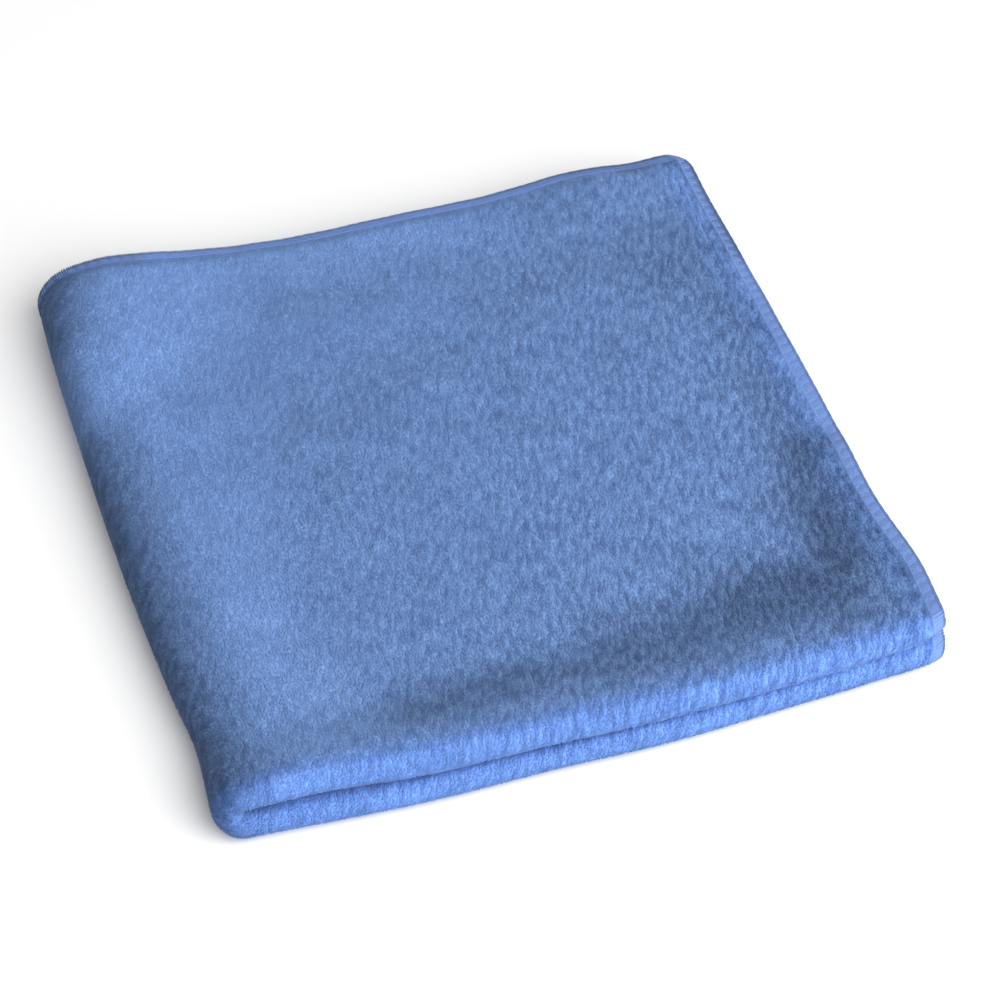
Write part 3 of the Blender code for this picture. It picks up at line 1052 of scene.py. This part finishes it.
def lay_out_sheet(mesh, flat, faces, count):
    """Lays the sheet's two sides beside each other on its map; the rim goes round the first."""
    area = (0.48, 0.96)
    margin = (0.01, 0.02)
    other_side = (0.5, 0.0)
    rim_growth = 1.02
    corners = flat[faces % len(flat)][:, :, :2] / CLOTH_SIDE + 0.5
    inner = faces >= len(flat)
    rim = np.arange(len(faces)) >= 2 * count
    grown = 0.5 + (corners - 0.5) * rim_growth
    corners = np.where((rim[:, None] & inner)[:, :, None], grown, corners)
    aside = (inner & ~rim[:, None])[:, :, None] * np.array(other_side)
    corners = corners * area + margin + aside
    layer = mesh.uv_layers.new(name="OFBake")
    layer.data.foreach_set("uv", corners.ravel())


def join_frame(piece, material=None):
    """Lets a piece move with the cloth's body, and gives it a material when one is passed."""
    if material is not None:
        piece.data.materials.append(material)
    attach(piece, BODY)


def edge_place(run, inside):
    """Flat place of a point on the way round the cut edge, at a distance inside it."""
    edge = np.floor(run / CLOTH_SIDE).astype(int) % 4
    place = run % CLOTH_SIDE - HALF_SIDE
    fan = np.clip(1.0 - (HALF_SIDE - np.abs(place)) / CORNER_FAN, 0.0, 1.0)
    out = HALF_SIDE - inside
    place = place - np.sign(place) * np.maximum(inside, 0.0) * fan
    across = np.choose(edge, [out, -place, -out, place])
    along = np.choose(edge, [place, out, -place, -out])
    return across, along


def even_stitches(stitch):
    """Places round the cut edge where the stitches start, at even distances on the folded cloth."""
    run = np.arange(0.0, 4 * CLOTH_SIDE, SEAM_SAMPLE)
    across, along = edge_place(run, SEAM_MIDDLE)
    steps = np.diff(fold(across, along, np.zeros_like(run)), axis=0)
    length = np.concatenate([[0.0], np.cumsum(np.linalg.norm(steps, axis=1))])
    count = round(length[-1] / stitch)
    return np.interp(np.arange(count + 1) / count * length[-1], length, run)


def seam_line(passes, stitch, thread, settings):
    """A closed line of edges that follows a thread round the whole cut edge."""
    starts = even_stitches(stitch)
    turn = np.array([row.turn for row in passes])
    count = len(starts) - 1
    inside = np.tile([row.inside for row in passes], count)
    depth = np.tile([row.depth for row in passes], count)
    run = (starts[:-1, None] + np.diff(starts)[:, None] * turn[None, :]).ravel()
    across, along = edge_place(run, inside)
    surface = thickness(np.maximum(inside, HEM[1].inside)) / 2 - thread * THREAD_SUNK
    points = fold(across, along, depth * surface, settings.relief) + SHIFT

    mesh = bpy.data.meshes.new("seam_line")
    order = np.arange(len(points))
    mesh.from_pydata(points, np.stack([order, np.roll(order, -1)], axis=1).tolist(), [])
    flat = np.stack([across, along, np.zeros_like(along)], axis=1)
    add_attribute(mesh, "flat_place", flat, "FLOAT_VECTOR")
    # painted light and shade of the seam, from the strokes and the hem's edge
    add_attribute(mesh, "painted_light_and_nap", painted_light_and_nap(across, along))
    return mesh


# ---- Operators ----

# The seam's threads: the setting that holds the thickness, and how many sides a thread has
THREADS = named_rows(
    "piece passes thickness sides",
    ("hem_looper_thread", LOOPER, "looper", 3),
    ("hem_needle_thread", NEEDLE, "needle", 4),
)


def sheet_piece():
    """The folded sheet, which the other pieces stand on."""
    sheet = bpy.data.objects.get(SHEET_PIECE)
    if sheet is None:
        raise RuntimeError("fold the sheet first")
    return sheet


class MICROFIBRE_OT_fold_sheet(bpy.types.Operator):
    """Fold the woven sheet in four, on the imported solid's folds"""
    bl_idname = "microfibre.fold_sheet"
    bl_label = "Fold the sheet"

    def execute(self, context):
        settings = context.scene.microfibre_cloth
        sheet = add_object(SHEET_PIECE, sheet_mesh(settings))
        join_frame(sheet, cloth_material(GROUND_FINISH, paint_ground, settings))
        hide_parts(CLOTH_NODE)
        return {"FINISHED"}


class MICROFIBRE_OT_raise_pile(bpy.types.Operator):
    """Raise tufts of pile on the outer side of the sheet"""
    bl_idname = "microfibre.raise_pile"
    bl_label = "Raise the pile"

    def execute(self, context):
        pile = context.scene.microfibre_pile
        sheet = sheet_piece()
        tree = tuft_tree()
        material = cloth_material(PILE_FINISH, paint_pile, context.scene.microfibre_cloth)
        for part, name in enumerate(PILES):
            spacing = pile.under_spacing if part == UNDERSIDE else pile.spacing
            piece = grow(name, sheet.data.copy(), tree, {
                "Part": part, "Spacing": spacing, "Width": pile.width * spacing / pile.spacing,
                "Height": pile.height, "Root": pile.root, "Lean": pile.lean,
                "Seed": pile.seed + part * SEED_STEP, "Material": material,
            })
            join_frame(piece)
        return {"FINISHED"}


class MICROFIBRE_OT_sew_hem(bpy.types.Operator):
    """Sew the overlock seam round the cut edge"""
    bl_idname = "microfibre.sew_hem"
    bl_label = "Sew the hem"

    def execute(self, context):
        thread = context.scene.microfibre_thread
        settings = context.scene.microfibre_cloth
        tree = thread_tree()
        material = cloth_material(THREAD_FINISH, paint_thread, settings)
        for row in THREADS:
            thick = getattr(thread, row.thickness)
            line = seam_line(row.passes, thread.stitch, thick, settings)
            values = {"Thickness": thick, "Sides": row.sides, "Material": material}
            join_frame(grow(row.piece, line, tree, values))
        return {"FINISHED"}


class MICROFIBRE_OT_set_stage(bpy.types.Operator):
    """Lay the floor, set the lights and place the camera"""
    bl_idname = "microfibre.set_stage"
    bl_label = "Set the stage"

    def execute(self, context):
        stage = context.scene.microfibre_stage
        lay_floor()
        place_camera(stage)
        light_stage(stage)
        context.scene.view_settings.view_transform = "Standard"
        return {"FINISHED"}


def aim(item, azimuth, elevation, distance, point=(0.0, 0.0, 0.0)):
    """Puts an object at a distance from a point and turns it there; azimuth 0 is the front."""
    way = Vector((sin(azimuth) * cos(elevation), -cos(azimuth) * cos(elevation), sin(elevation)))
    item.location = Vector(point) + way * distance
    item.rotation_euler = (-way).to_track_quat("-Z", "Y").to_euler()


def lay_floor():
    """A wide pale floor just under the cloth."""
    finish = {"Base Color": (0.90, 0.90, 0.90, 1.0), "Roughness": 0.9}
    material = plain_material("Pale floor", finish)[0]
    bpy.ops.mesh.primitive_plane_add(size=12.0, location=(0.0, 0.0, -0.0001))
    floor = bpy.context.object
    floor.name = "floor"
    floor.data.materials.append(material)


def place_camera(stage):
    """The camera at the photograph's angle."""
    camera = add_object("camera", bpy.data.cameras.new("camera"))
    aim(camera, stage.azimuth, stage.elevation, stage.distance, (stage.aim_right, stage.aim_back, 0.0))
    camera.data.lens = stage.lens
    camera.data.sensor_width = 36.0
    camera.data.clip_start = 0.01
    bpy.context.scene.camera = camera


def light_stage(stage):
    """One large soft light from the front right, and an even pale sky."""
    data = bpy.data.lights.new("key", "AREA")
    data.shape = "DISK"
    data.size = 2.1
    data.energy = stage.key_power
    aim(add_object("key", data), stage.key_azimuth, stage.key_elevation, distance=1.5)
    world = bpy.data.worlds.new("Pale sky")
    world.use_nodes = True
    sky = world.node_tree.nodes["Background"]
    sky.inputs["Color"].default_value = (1.0, 1.0, 1.0, 1.0)
    sky.inputs["Strength"].default_value = stage.sky
    bpy.context.scene.world = world


class MICROFIBRE_PT_sidebar(bpy.types.Panel):
    """The steps that make the cloth, and their sizes and colours"""
    bl_idname = "MICROFIBRE_PT_sidebar"
    bl_label = "Microfibre cloth"
    bl_space_type = "VIEW_3D"
    bl_region_type = "UI"
    bl_category = "Microfibre"

    def draw(self, context):
        for step in STEPS:
            box = self.layout.box()
            settings = getattr(context.scene, step.settings)
            for name in settings.bl_rna.properties.keys():
                if name not in ("rna_type", "name"):
                    box.prop(settings, name)
            box.operator(step.operator.bl_idname)


STEPS = named_rows(
    "settings group operator",
    ("microfibre_cloth", MicrofibreCloth, MICROFIBRE_OT_fold_sheet),
    ("microfibre_pile", MicrofibrePile, MICROFIBRE_OT_raise_pile),
    ("microfibre_thread", MicrofibreThread, MICROFIBRE_OT_sew_hem),
    ("microfibre_stage", MicrofibreStage, MICROFIBRE_OT_set_stage),
)
CLASSES = [*(step.group for step in STEPS), *(step.operator for step in STEPS), MICROFIBRE_PT_sidebar]


def register():
    for item in CLASSES:
        bpy.utils.register_class(item)
    for step in STEPS:
        setattr(bpy.types.Scene, step.settings, bpy.props.PointerProperty(type=step.group))


def unregister():
    for step in STEPS:
        delattr(bpy.types.Scene, step.settings)
    for item in reversed(CLASSES):
        bpy.utils.unregister_class(item)


def main():
    register()
    bpy.ops.microfibre.fold_sheet()
    bpy.ops.microfibre.raise_pile()
    bpy.ops.microfibre.sew_hem()
    bpy.ops.microfibre.set_stage()


if __name__ == "__main__":
    main()
